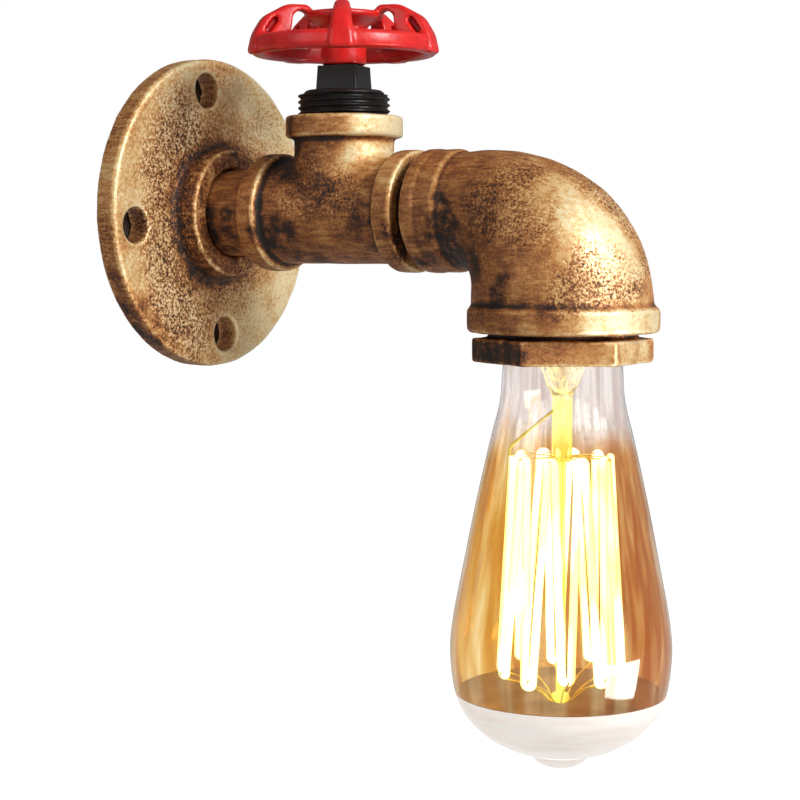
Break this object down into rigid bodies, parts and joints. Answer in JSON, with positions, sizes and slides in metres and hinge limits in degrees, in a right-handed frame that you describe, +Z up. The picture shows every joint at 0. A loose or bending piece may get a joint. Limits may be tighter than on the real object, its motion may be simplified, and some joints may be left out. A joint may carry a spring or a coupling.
{
  "type": "industrial pipe wall light",
  "caption": "Wall light of cast pipe fittings: round wall flange, tee with a red valve handwheel, reducing elbow pointing down and a screw-in filament lamp.",
  "frame": {"origin": "centre of the wall flange's back face, at the centre of its bolt circle", "axes": "+Y into the wall, so the arm points along -Y; +Z up, with the lamp hanging towards -Z"},
  "size_m": [0.098, 0.1658, 0.224],
  "materials": {
    "bronze_casting": "antique bronze paint over cast iron, rubbed bright on edges and faces, dark in the hollows",
    "black_casting": "satin black painted malleable iron",
    "red_enamel": "glossy red enamel over a zinc casting",
    "plated_steel": "zinc plated steel",
    "brass": "plain pressed or turned brass",
    "porcelain": "white glazed porcelain",
    "spring_steel": "blued spring steel",
    "brown_insulation": "brown silicone insulated wire",
    "blue_insulation": "blue silicone insulated wire",
    "amber_glass": "thin clear glass with an amber metallic tint on its sides",
    "clear_glass": "clear lead glass",
    "glowing_filament": "tungsten and carbon filament, lit",
    "support_wire": "nickel and molybdenum support wire",
    "cap_brass": "pressed brass lamp cap",
    "black_glass": "black vitrite insulating glass"
  },
  "bodies": {
    "fitting": {"wall_flange": "bronze_casting", "earth_screw": "plated_steel", "earth_washer": "plated_steel", "flange_nipple": "bronze_casting", "pipe_tee": "bronze_casting", "arm_nipple": "bronze_casting", "reducing_elbow": "bronze_casting", "hex_bushing": "bronze_casting", "threaded_plug": "black_casting", "handwheel_bush": "brass", "handwheel_washer": "plated_steel", "handwheel_screw": "plated_steel", "holder_body": "porcelain", "holder_screw_shell": "brass", "holder_centre_contact": "brass", "holder_terminals": "brass", "holder_terminal_screws": "plated_steel", "holder_retaining_ring": "spring_steel", "wire_ferrules": "plated_steel", "live_wire": "brown_insulation", "neutral_wire": "blue_insulation"},
    "handwheel_body": {"handwheel": "red_enamel"},
    "lamp_contact": {"bulb_eyelet": "brass"},
    "lamp": {"bulb_glass": "amber_glass", "bulb_stem": "clear_glass", "bulb_lead_wires": "support_wire", "bulb_filament": "glowing_filament", "bulb_top_hooks": "support_wire", "bulb_bottom_hooks": "support_wire", "bulb_screw_cap": "cap_brass", "bulb_cap_insulator": "black_glass"}
  },
  "joints": [
    {"name": "handwheel_spin", "type": "hinge", "parent": "fitting", "child": "handwheel_body", "pos_m": [0, -0.0575, 0.05], "axis": [0, 0, 1], "continuous": true},
    {"name": "lamp_out", "type": "slide", "parent": "fitting", "child": "lamp_contact", "axis": [0, 0, -1], "range_m": [0, 0.0205]},
    {"name": "lamp_turn", "type": "hinge", "parent": "lamp_contact", "child": "lamp", "pos_m": [0, -0.1338, -0.05], "axis": [0, 0, -1], "range_deg": [0, 2032.6]}
  ],
  "couplings": [
    {"joint": "lamp_out", "follows": "lamp_turn", "m_per_rad": 0.00057757}
  ]
}
